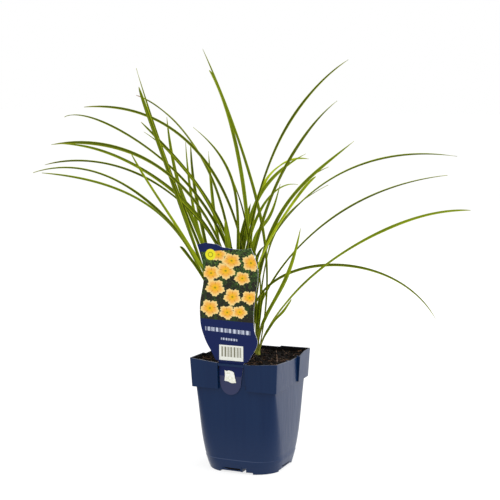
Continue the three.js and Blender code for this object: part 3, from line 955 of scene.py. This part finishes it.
# Rows of round blossoms laid over the colour, each a little off its place.
def strewBlossoms(tree, colour, x, z):
    group = makeBlossomGroup()
    (firstX, firstZ), (pitchX, pitchZ) = blossoms["first"], blossoms["pitch"]
    draw = random.Random(blossoms["seed"])
    for row in range(blossoms["rows"]):
        for column in range(blossoms["columns"]):
            aside, lift = (blossoms["jitter"] * draw.uniform(-1, 1) for _ in range(2))
            bloom = useGroup(tree, group, AcrossPlace=x, UpPlace=z,
                             MiddleX=firstX + pitchX * (column + 0.5 * (row % 2)) + aside,
                             MiddleZ=firstZ + pitchZ * row + lift,
                             Radius=draw.uniform(*blossoms["radius"]), Turn=draw.uniform(0, math.tau),
                             Squash=draw.uniform(*blossoms["squash"]))
            outer = ranged(tree, bloom["Spread"], *blossoms["rimRange"])
            petal = blend(tree, outer, blossoms["petal"], blossoms["rim"])
            for mark in ("Crease", "Throat", "Heart"):
                petal = blend(tree, bloom[mark], petal, blossoms[mark.lower()])
            colour = blend(tree, bloom["Petal"], colour, petal)
    return colour


# Boxes are left, right, foot and top. Each line adds the beat of its blocks.
printLook = {
    "navy": (0.0055, 0.0125, 0.072, 1), "white": (0.72, 0.73, 0.66, 1), "bar": (0.19, 0.185, 0.13, 1),
    "yellow": (0.72, 0.66, 0.02, 1), "ring": (0.30, 0.27, 0.01, 1), "rule": (0.50, 0.54, 0.64, 1),
    "tongue": (0.032, 0.038, 0.088, 1), "tongueTop": 117.5,
    "pictureFoot": 183, "pictureSlope": -0.02, "wedgeLeft": -45.8, "wedgeFoot": 261, "wedgeSlope": 0.115,
    "disc": (-29.9, 259), "discRadius": 6.5, "ringRadius": 2.7, "ringHalf": 0.5,
    "panel": (-18.4, 12, 136, 154), "bars": (-15.6, 9.4, 140.2, 152.2), "barBeat": 1.6,
    "lines": [(-36, 21, 168.6, 173.4, 1.15), (-16, 5, 159.6, 162.2, 1.9)], "lineFall": 0.03,
    "fineBeat": 2.7, "stripeShare": -0.1, "index": 1.2, "roughness": 0.38,
}
undergrowth = {
    "across": 200.0, "upwards": 90.0,
    "earth": (0.017, 0.016, 0.012, 1), "leafy": (0.024, 0.050, 0.012, 1), "leafyRange": (0.45, 0.6),
    "leafyLift": (190, 250, -0.07, 0.03),
    "shoot": (0.11, 0.21, 0.040, 1), "shootRange": (0.56, 0.68), "shootLift": (195, 262, -0.06, 0.04),
}
haze = {"scale": 60.0, "spread": (-0.05, 0.08), "bump": (0.08, 0.05)}


def boxMask(tree, x, z, low, high, foot, top):
    parts = [calc(tree, "GREATER_THAN", x, low), calc(tree, "LESS_THAN", x, high),
             calc(tree, "GREATER_THAN", z, foot), calc(tree, "LESS_THAN", z, top)]
    mask = parts[0]
    for part in parts[1:]:
        mask = calc(tree, "MULTIPLY", mask, part)
    return mask


# Uneven upright stripes within a box.
def stripes(tree, x, z, box, beat):
    beats = (beat, printLook["fineBeat"] * beat)
    waves = [calc(tree, "SINE", calc(tree, "MULTIPLY", x, rate)) for rate in beats]
    marks = calc(tree, "GREATER_THAN", calc(tree, "ADD", *waves), printLook["stripeShare"])
    return calc(tree, "MULTIPLY", marks, boxMask(tree, x, z, *box))


def gloss(tree, surface, place, roughness):
    film = patches(tree, place, haze["scale"])
    smoother, rougher = (roughness + step for step in haze["spread"])
    tree.links.new(ranged(tree, film["Mask"], *unevenRange, smoother, rougher), surface.inputs["Roughness"])
    bumped(tree, surface, film["Fine"], *haze["bump"])


# Dark leafy ground, lighter towards the top.
def leafyGround(tree, place, z):
    leaves = patches(tree, place, undergrowth["across"], undergrowth["upwards"])
    growth = calc(tree, "ADD", leaves["Mask"], ranged(tree, z, *undergrowth["leafyLift"]))
    light = calc(tree, "ADD", leaves["Fine"], ranged(tree, z, *undergrowth["shootLift"]))
    leafy = ranged(tree, growth, *undergrowth["leafyRange"])
    colour = blend(tree, leafy, undergrowth["earth"], undergrowth["leafy"])
    return blend(tree, ranged(tree, light, *undergrowth["shootRange"]), colour, undergrowth["shoot"])


def printedPlate():
    material, tree, surface = newMaterial("printedPlate", IOR=printLook["index"])
    place = objectPlace(tree)
    parts = coordinates(tree, place)
    x, z = parts["X"], parts["Z"]
    colour = strewBlossoms(tree, leafyGround(tree, place, z), x, z)
    pictureFoot = calc(tree, "MULTIPLY_ADD", x, printLook["pictureSlope"], printLook["pictureFoot"])
    colour = blend(tree, calc(tree, "LESS_THAN", z, pictureFoot), colour, printLook["navy"])
    fromWedge = calc(tree, "SUBTRACT", x, printLook["wedgeLeft"])
    wedgeFoot = calc(tree, "MULTIPLY_ADD", fromWedge, printLook["wedgeSlope"], printLook["wedgeFoot"])
    colour = blend(tree, calc(tree, "GREATER_THAN", z, wedgeFoot), colour, printLook["navy"])
    discX, discZ = printLook["disc"]
    away = distance(tree, calc(tree, "SUBTRACT", x, discX), calc(tree, "SUBTRACT", z, discZ))
    disc = calc(tree, "LESS_THAN", away, printLook["discRadius"])
    colour = blend(tree, disc, colour, printLook["yellow"])
    ring = calc(tree, "COMPARE", away, printLook["ringRadius"], printLook["ringHalf"])
    colour = blend(tree, ring, colour, printLook["ring"])
    level = calc(tree, "MULTIPLY_ADD", x, printLook["lineFall"], z)
    for *box, beat in printLook["lines"]:
        colour = blend(tree, stripes(tree, x, level, box, beat), colour, printLook["rule"])
    colour = blend(tree, boxMask(tree, x, z, *printLook["panel"]), colour, printLook["white"])
    bars = stripes(tree, x, z, printLook["bars"], printLook["barBeat"])
    colour = blend(tree, bars, colour, printLook["bar"])
    tongue = calc(tree, "LESS_THAN", z, printLook["tongueTop"])
    tree.links.new(blend(tree, tongue, colour, printLook["tongue"]), surface.inputs["Base Color"])
    gloss(tree, surface, place, printLook["roughness"])
    return material


plainLook = {
    "tongue": (0.10, 0.10, 0.2, 1), "pale": (0.34, 0.35, 0.40, 1), "paler": (0.44, 0.45, 0.49, 1),
    "tones": 90.0, "fade": 1, "index": 1.45, "roughness": 0.42,
}


def plainPlate():
    material, tree, surface = newMaterial("plainPlate", IOR=plainLook["index"])
    place = objectPlace(tree)
    tongueTop = printLook["tongueTop"]
    above = ranged(tree, coordinates(tree, place)["Z"], tongueTop, tongueTop + plainLook["fade"])
    tones = patches(tree, place, plainLook["tones"])["Mask"]
    pale = blend(tree, tones, plainLook["pale"], plainLook["paler"])
    tree.links.new(blend(tree, above, plainLook["tongue"], pale), surface.inputs["Base Color"])
    gloss(tree, surface, place, plainLook["roughness"])
    return material


labelPiece = makeLabel(printedPlate(), plainPlate())
dress(labelPiece, "label")
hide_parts("label")
print("label ready")


# The four torn edges as (x, height).
sticker = {
    "top": [(-11.3, 124.3), (-8.6, 123.4), (-6, 124.4), (-1.6, 123.6), (1, 121.6)],
    "foot": [(-11.4, 111.8), (-7.2, 111.3), (-3.4, 109.6), (3, 110)],
    "left": [(-11.4, 111.8), (-11, 118), (-11.3, 124.3)], "right": [(3, 110), (2, 115.5), (1, 121.6)],
    "cells": 16, "tear": 0.2, "tearFrom": 0.998, "thickness": 0.16, "gap": 0.3,
    "curl": 0.45, "curlFrom": 0.3, "curlBend": 4, "seed": 3, "smooth": 40,
}


# The other coordinate of a line of points at this place along the axis.
def alongLine(points, axis, place):
    for first, second in zip(points, points[1:]):
        if place <= second[axis] or second == points[-1]:
            share = (place - first[axis]) / (second[axis] - first[axis])
            return first[1 - axis] + (second[1 - axis] - first[1 - axis]) * share


def makeSticker():
    draw = random.Random(sticker["seed"])
    cells = sticker["cells"]
    bpy.ops.mesh.primitive_grid_add(x_subdivisions=cells, y_subdivisions=cells, size=1)
    piece = freshPiece("tornSticker")
    lowest = min(z for _, z in sticker["foot"])
    highest = max(z for _, z in sticker["top"])
    for vertex in piece.data.vertices:
        across, up = vertex.co.x + 0.5, vertex.co.y + 0.5
        outward = 2 * max(abs(vertex.co.x), abs(vertex.co.y))
        z = lowest + (highest - lowest) * up
        left, right = (alongLine(sticker[side], 1, z) for side in ("left", "right"))
        x = left + (right - left) * across
        low, high = (alongLine(sticker[side], 0, x) for side in ("foot", "top"))
        z = low + (high - low) * up
        if outward > sticker["tearFrom"]:
            x += sticker["tear"] * draw.uniform(-1, 1)
            z += sticker["tear"] * draw.uniform(-1, 1)
        curl = sticker["curl"] * outward ** sticker["curlBend"] * max(0, up - sticker["curlFrom"])
        vertex.co = (mm(x), mm(label["plane"] - sticker["gap"] - curl), mm(z))
    applied(piece, "SOLIDIFY", thickness=mm(sticker["thickness"]), offset=0)
    return smoothed(piece, sticker["smooth"])


paperLook = {
    "white": (0.80, 0.80, 0.74, 1), "damp": (0.66, 0.67, 0.52, 1), "dampRange": (0.45, 0.65),
    "speck": (0.30, 0.27, 0.22, 1), "speckRange": (0.66, 0.74), "marks": 320.0, "roughness": 0.85,
    "bump": (0.5, 0.15),
}


def tornPaper():
    material, tree, surface = newMaterial("tornPaper", Roughness=paperLook["roughness"])
    marks = patches(tree, objectPlace(tree), paperLook["marks"])
    damp = ranged(tree, marks["Mask"], *paperLook["dampRange"])
    colour = blend(tree, damp, paperLook["white"], paperLook["damp"])
    specks = ranged(tree, marks["Fine"], *paperLook["speckRange"])
    tree.links.new(blend(tree, specks, colour, paperLook["speck"]), surface.inputs["Base Color"])
    bumped(tree, surface, marks["Fine"], *paperLook["bump"])
    return material


stickerPiece = makeSticker()
dress(stickerPiece, "sticker", tornPaper())
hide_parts("sticker")
print("sticker ready")


# Each fan: where it stands, where it faces, and its leaves as heading, rise, arch, tip, width and turn.
fans = {
    "fan_1": ((2, 16), 15, [
        (355, (20, 215), (165, 315), (264, 318), 7.5, 30),
        (3, (0, 190), (35, 190), (54, 286), 7.5, -30),
        (188, (-20, 230), (-20, 300), (68, 496), 5.5, 60),
        (43, (-55, 260), (170, 270), (240, 160), 4.5, 50),
        (333, (15, 175), (50, 185), (60, 206), 5, -10),
        (83, (-5, 180), (10, 200), (14, 208), 7, 20),
        (223, (5, 190), (-15, 210), (10, 272), 5, -5),
        (323, (0, 200), (-25, 235), (14, 264), 5.5, -15),
    ]),
    "fan_2": ((-8, 25), 50, [
        (31, (-15, 175), (55, 325), (240, 344), 8, -20),
        (48, (-35, 230), (65, 395), (290, 362), 6, -35),
        (63, (5, 305), (60, 320), (168, 382), 8.5, 0),
        (68, (20, 205), (10, 320), (136, 350), 5, -55),
        (38, (20, 230), (0, 290), (95, 333), 5, -20),
        (81, (-20, 265), (-15, 375), (137, 359), 9, -30),
        (85, (-30, 335), (25, 240), (73, 331), 5, 60),
        (130, (10, 190), (20, 220), (42, 236), 5.5, 30),
    ]),
    "fan_3": ((-5, -4), 345, [
        (353, (-15, 225), (10, 410), (132, 482), 7, 50),
        (338, (-20, 190), (30, 370), (142, 437), 5, -15),
        (323, (-35, 230), (130, 345), (152, 357), 9, 60),
        (217, (-20, 230), (20, 440), (189, 429), 8.5, -30),
        (253, (45, 260), (-35, 335), (91, 407), 6, -10),
        (238, (-20, 250), (0, 310), (29, 363), 5.5, -20),
    ]),
    "fan_4": ((-19, 9), 70, [
        (163, (-45, 320), (35, 460), (47, 471), 9, 10),
        (148, (35, 260), (95, 200), (118, 382), 5, -60),
        (73, (-15, 215), (25, 345), (114, 329), 5, 0),
        (53, (0, 260), (0, 330), (93, 370), 9, 5),
        (88, (-20, 275), (5, 265), (32, 311), 7.5, 50),
        (133, (20, 195), (105, 255), (116, 370), 7, 30),
    ]),
    "fan_5": ((-21, -7), 40, [
        (223, (-10, 185), (100, 395), (236, 357), 7, 20),
        (235, (-30, 215), (50, 410), (230, 390), 9, -40),
        (208, (-45, 275), (80, 380), (107, 411), 8, -30),
        (213, (-35, 220), (35, 355), (104, 400), 6, 10),
        (195, (10, 180), (20, 210), (30, 224), 5.5, 30),
        (150, (20, 190), (85, 300), (87, 380), 8, 20),
    ]),
    "fan_6": ((-34, 9), 345, [
        (201, (35, 265), (70, 335), (223, 349), 8, 30),
        (191, (-45, 270), (100, 380), (208, 382), 5, -50),
        (181, (-50, 265), (110, 390), (250, 353), 6, 40),
        (171, (-75, 320), (205, 435), (249, 412), 5.5, -10),
        (161, (30, 270), (50, 220), (157, 474), 7.5, 10),
        (148, (-50, 305), (75, 415), (213, 439), 8, 35),
        (134, (55, 295), (200, 265), (237, 410), 7, -60),
    ]),
    "fan_7": ((-14, -19), 60, [
        (219, (-10, 190), (100, 330), (122, 377), 8, 15),
        (209, (5, 195), (60, 265), (64, 266), 8, -30),
        (221, (55, 290), (105, 425), (113, 452), 7, 30),
        (268, (5, 205), (15, 260), (22, 300), 7, 30),
    ]),
}

# shades and dry hold the tone and the dryness of single leaves, by fan and place in its list. The others
# are drawn at random.
leaf = {
    "foot": 128, "thickness": 0.42, "across": 10, "along": 56, "neck": 0.6, "swell": 1.4, "point": 0.03,
    "pointBend": 10, "pointEase": 0.8,
    "foldAtFoot": 38, "foldOpen": 62, "opening": 2.5, "turning": 1.6, "crease": 0.015, "cup": 0.08,
    "beat": (1.5, 3), "sway": 0.5, "ripple": 0.22, "rippleBeat": 7, "seed": 23,
    "rippleFrom": 4, "tones": (0.0, 0.55), "dryness": (0, 0.25), "smooth": 50,
    "shades": {
        ("fan_1", 1): 0.55, ("fan_1", 2): 0.4, ("fan_1", 3): 0.1, ("fan_1", 4): 0.5,
        ("fan_2", 0): 0.0, ("fan_2", 1): 0.1, ("fan_2", 2): 0.3, ("fan_2", 3): 0.15, ("fan_2", 5): 1.0,
        ("fan_3", 1): 0.1, ("fan_3", 2): 1.0, ("fan_3", 3): 0.0, ("fan_4", 0): 0.35, ("fan_5", 1): 0.0,
        ("fan_6", 3): 0.0, ("fan_6", 5): 0.0, ("fan_7", 0): 0.6,
    },
    "dry": {("fan_6", 5): 1.0},
}


def bladeModel():
    bpy.ops.mesh.primitive_grid_add(x_subdivisions=leaf["across"], y_subdivisions=leaf["along"], size=2)
    return freshPiece("bladeModel")


def bladeWidth(place):
    swell = min(1, leaf["neck"] + leaf["swell"] * place)
    return swell * max((1 - place ** leaf["pointBend"]) ** leaf["pointEase"], leaf["point"])


def turnedAbout(vector, axis, angle):
    lifted = axis * axis.dot(vector) * (1 - math.cos(angle))
    return vector * math.cos(angle) + axis.cross(vector) * math.sin(angle) + lifted


# The spine of a leaf, its side and keel directions and its fold at t, from 0 at its foot to 1 at its tip.
# level is the side direction before the leaf turns.
def leafRow(handles, level, turn, t):
    a, b, c, d = handles
    spine = a * (1 - t) ** 3 + b * 3 * t * (1 - t) ** 2 + c * 3 * t * t * (1 - t) + d * t ** 3
    along = ((b - a) * (1 - t) ** 2 + (c - b) * 2 * t * (1 - t) + (d - c) * t * t).normalized()
    roll = math.radians(turn) * math.sin(min(1, leaf["turning"] * t) * math.pi / 2)
    side, keel = (turnedAbout(vector, along, roll) for vector in (level, along.cross(level)))
    opening = min(1, leaf["opening"] * t)
    fold = math.radians(leaf["foldAtFoot"] * (1 - opening) + leaf["foldOpen"] * opening)
    return spine, side, keel, fold


def growLeaf(model, fanName, number, draw):
    (fanX, fanY), _, leaves = fans[fanName]
    heading, rise, arch, tip, width, turn = leaves[number]
    out = Vector((math.cos(math.radians(heading)), math.sin(math.radians(heading)), 0))
    places = ((0, leaf["foot"]), rise, arch, tip)
    handles = [Vector((fanX, fanY, height)) + out * reach for reach, height in places]
    level = Vector((-out.y, out.x, 0))
    phase, beat = draw.uniform(0, math.tau), draw.uniform(*leaf["beat"])
    piece = copied(model, "blade")
    alongs, acrosses = [], []
    for vertex in piece.data.vertices:
        across, t = vertex.co.x, (vertex.co.y + 1) / 2
        spine, side, keel, fold = leafRow(handles, level, turn, t)
        arm = width / 2 * bladeWidth(t)
        sway = leaf["sway"] * math.sin(beat * math.tau * t + phase) * t
        beating = math.sin(leaf["rippleBeat"] * beat * t + 3 * phase + 2 * across)
        ripple = leaf["ripple"] * abs(across) * beating * min(1, leaf["rippleFrom"] * t)
        crease = math.sqrt(across ** 2 + leaf["crease"]) - leaf["cup"] * across ** 2
        lift = arm * math.cos(fold) * (crease - 0.5) + ripple
        vertex.co = (spine + side * (sway + across * arm * math.sin(fold)) + keel * lift) / 1000
        alongs.append(t)
        acrosses.append(across)
    tone = leaf["shades"].get((fanName, number), draw.uniform(*leaf["tones"]))
    dryness = leaf["dry"].get((fanName, number), draw.uniform(*leaf["dryness"]))
    marked(piece, "leafAlong", alongs)
    marked(piece, "leafAcross", acrosses)
    marked(piece, "leafTone", [tone] * len(alongs))
    marked(piece, "leafDry", [dryness] * len(alongs))
    return applied(piece, "SOLIDIFY", thickness=mm(leaf["thickness"]), offset=-1, use_even_offset=True)


# The taper is a list of rises and scales. The sheath is green along its stems and paler between them.
sheath = {
    "foot": 118, "half": (3.4, 2.9), "taper": [(8, 1), (13, 1), (19, 0.8), (31, 0.5)], "sides": 20,
    "stems": 5, "pale": 0.05, "stripe": 0.17, "across": 0.5, "tone": 0.2,
}


def growSheath(fanName):
    (x, y), facing, _ = fans[fanName]
    foot = Vector((mm(x), mm(y), mm(sheath["foot"])))
    bpy.ops.mesh.primitive_circle_add(vertices=sheath["sides"], radius=mm(1), location=foot)
    piece = bpy.context.object
    piece.scale = (*sheath["half"], 1)
    turned(piece, facing)
    selectParts(piece, "EDGE", lambda edge: True)
    bpy.ops.mesh.edge_face_add()
    before, size = 0, 1
    for rise, scale in sheath["taper"]:
        bpy.ops.mesh.extrude_region_move(TRANSFORM_OT_translate={"value": (0, 0, mm(rise - before))})
        middle = foot + Vector((0, 0, mm(rise)))
        bpy.ops.transform.resize(value=(scale / size, scale / size, 1), center_override=middle)
        before, size = rise, scale
    bpy.ops.mesh.select_all(action="SELECT")
    bpy.ops.mesh.normals_make_consistent(inside=False)
    closeEdit()
    angles = [math.atan2(vertex.co.y - foot.y, vertex.co.x - foot.x) for vertex in piece.data.vertices]
    stems = [0.5 + 0.5 * math.cos(sheath["stems"] * angle) for angle in angles]
    marked(piece, "leafAlong", [sheath["pale"] + sheath["stripe"] * stem for stem in stems])
    marked(piece, "leafAcross", [sheath["across"] * math.cos(angle) for angle in angles])
    marked(piece, "leafTone", [sheath["tone"]] * len(angles))
    marked(piece, "leafDry", [0] * len(angles))
    return piece


# rib and rim are ranges across the leaf, out from its rib; the paler rim is a painted edge highlight.
# footRange, tipRange and dryRange run along it.
leafLook = {
    "green": (0.130, 0.178, 0.008, 1), "deep": (0.050, 0.067, 0.004, 1), "greenRange": (0.38, 0.64),
    # One half of each blade is painted lighter and the other darker, as light and shade.
    "flow": (7.0, 9.0, 40.0), "veinDetail": 3.0, "sideLightBeat": 50.0, "sideLight": 0.14, "level": (0.7, -0.2),
    # The pale yellow-green is painted light shining through the blades, a painted highlight at their rims,
    # and the paler midrib.
    "paleAndLitGreen": (0.46, 0.54, 0.014, 1), "patches": 28.0, "backlitTones": (0.25, 1.0),
    "backlitPatches": (0.3, 0.65), "backlitShare": 0.6,
    "rib": (0.18, 0.02, 0.0, 0.35), "rim": (0.75, 1.0, 0.0, 0.5),
    "foot": (0.46, 0.45, 0.09, 1), "footRange": (0.3, 0.03, 0.0, 0.75),
    "tip": (0.30, 0.30, 0.03, 1), "tipRange": (0.95, 1.0, 0.0, 0.5),
    "dry": (0.27, 0.15, 0.06, 1), "dryRange": (0.94, 0.975), "dryFrom": (0.3, 0.6),
    "index": 1.05, "roughness": (0.38, 0.52), "bump": (0.35, 0.15),
}


def leafMaterial():
    material, tree, surface = newMaterial("leafBlade", IOR=leafLook["index"])
    along, across, tone, dry = (
        addNode(tree, "ShaderNodeAttribute", attribute_name=name).outputs["Fac"]
        for name in ("leafAlong", "leafAcross", "leafTone", "leafDry"))
    flow = {axis: calc(tree, "MULTIPLY", value, rate)
            for axis, (value, rate) in enumerate(zip((across, along, tone), leafLook["flow"]))}
    flowPlace = addNode(tree, "ShaderNodeCombineXYZ", flow).outputs[0]
    veinInputs = {"Vector": flowPlace, "Scale": 1.0, "Detail": leafLook["veinDetail"]}
    veins = addNode(tree, "ShaderNodeTexNoise", veinInputs).outputs[0]
    spots = patches(tree, objectPlace(tree), leafLook["patches"])
    # One half of each blade, across its fold, is lighter and the other darker: painted light and shade, as
    # if one half faced the lamps.
    sideLight = calc(tree, "SINE", calc(tree, "MULTIPLY", tone, leafLook["sideLightBeat"]))
    half = calc(tree, "MULTIPLY", calc(tree, "MULTIPLY", across, sideLight), leafLook["sideLight"])
    level = calc(tree, "MULTIPLY_ADD", tone, *leafLook["level"])
    shade = calc(tree, "ADD", calc(tree, "ADD", veins, half), level)
    colour = blend(tree, ranged(tree, shade, *leafLook["greenRange"]), leafLook["deep"], leafLook["green"])
    # Pale yellow-green patches on the leaves with a higher tone: painted light shining through the blades.
    backlitTone = ranged(tree, tone, *leafLook["backlitTones"])
    backlitSpots = ranged(tree, spots["Mask"], *leafLook["backlitPatches"])
    paleAndLitGreen = calc(tree, "MULTIPLY", backlitTone, backlitSpots, clamp=True)
    colour = blend(tree, calc(tree, "MULTIPLY", paleAndLitGreen, leafLook["backlitShare"]), colour, leafLook["paleAndLitGreen"])
    aside = calc(tree, "ABSOLUTE", across)
    # The paler green towards the rim is a painted edge highlight; the paler line along the rib is the
    # leaf's own midrib.
    rib, rim = (ranged(tree, aside, *leafLook[line]) for line in ("rib", "rim"))
    colour = blend(tree, calc(tree, "MAXIMUM", rib, rim), colour, leafLook["paleAndLitGreen"])
    for end in ("foot", "tip"):
        colour = blend(tree, ranged(tree, along, *leafLook[end + "Range"]), colour, leafLook[end])
    brown = ranged(tree, along, *leafLook["dryRange"])
    brown = calc(tree, "MULTIPLY", brown, ranged(tree, dry, *leafLook["dryFrom"]))
    tree.links.new(blend(tree, brown, colour, leafLook["dry"]), surface.inputs["Base Color"])
    satin = ranged(tree, spots["Fine"], *unevenRange, *leafLook["roughness"])
    tree.links.new(satin, surface.inputs["Roughness"])
    bumped(tree, surface, veins, *leafLook["bump"])
    return material


def makeFans():
    foliage = leafMaterial()
    model = bladeModel()
    draw = random.Random(leaf["seed"])
    for fanName, (_, _, leaves) in fans.items():
        parts = [growLeaf(model, fanName, number, draw) for number in range(len(leaves))]
        piece = joined(fanName.replace("_", "Leaves"), parts + [growSheath(fanName)])
        smoothed(piece, leaf["smooth"])
        dress(piece, "leaf", foliage)
        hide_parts(fanName)
    bpy.data.objects.remove(model)


makeFans()
print("leaves ready")
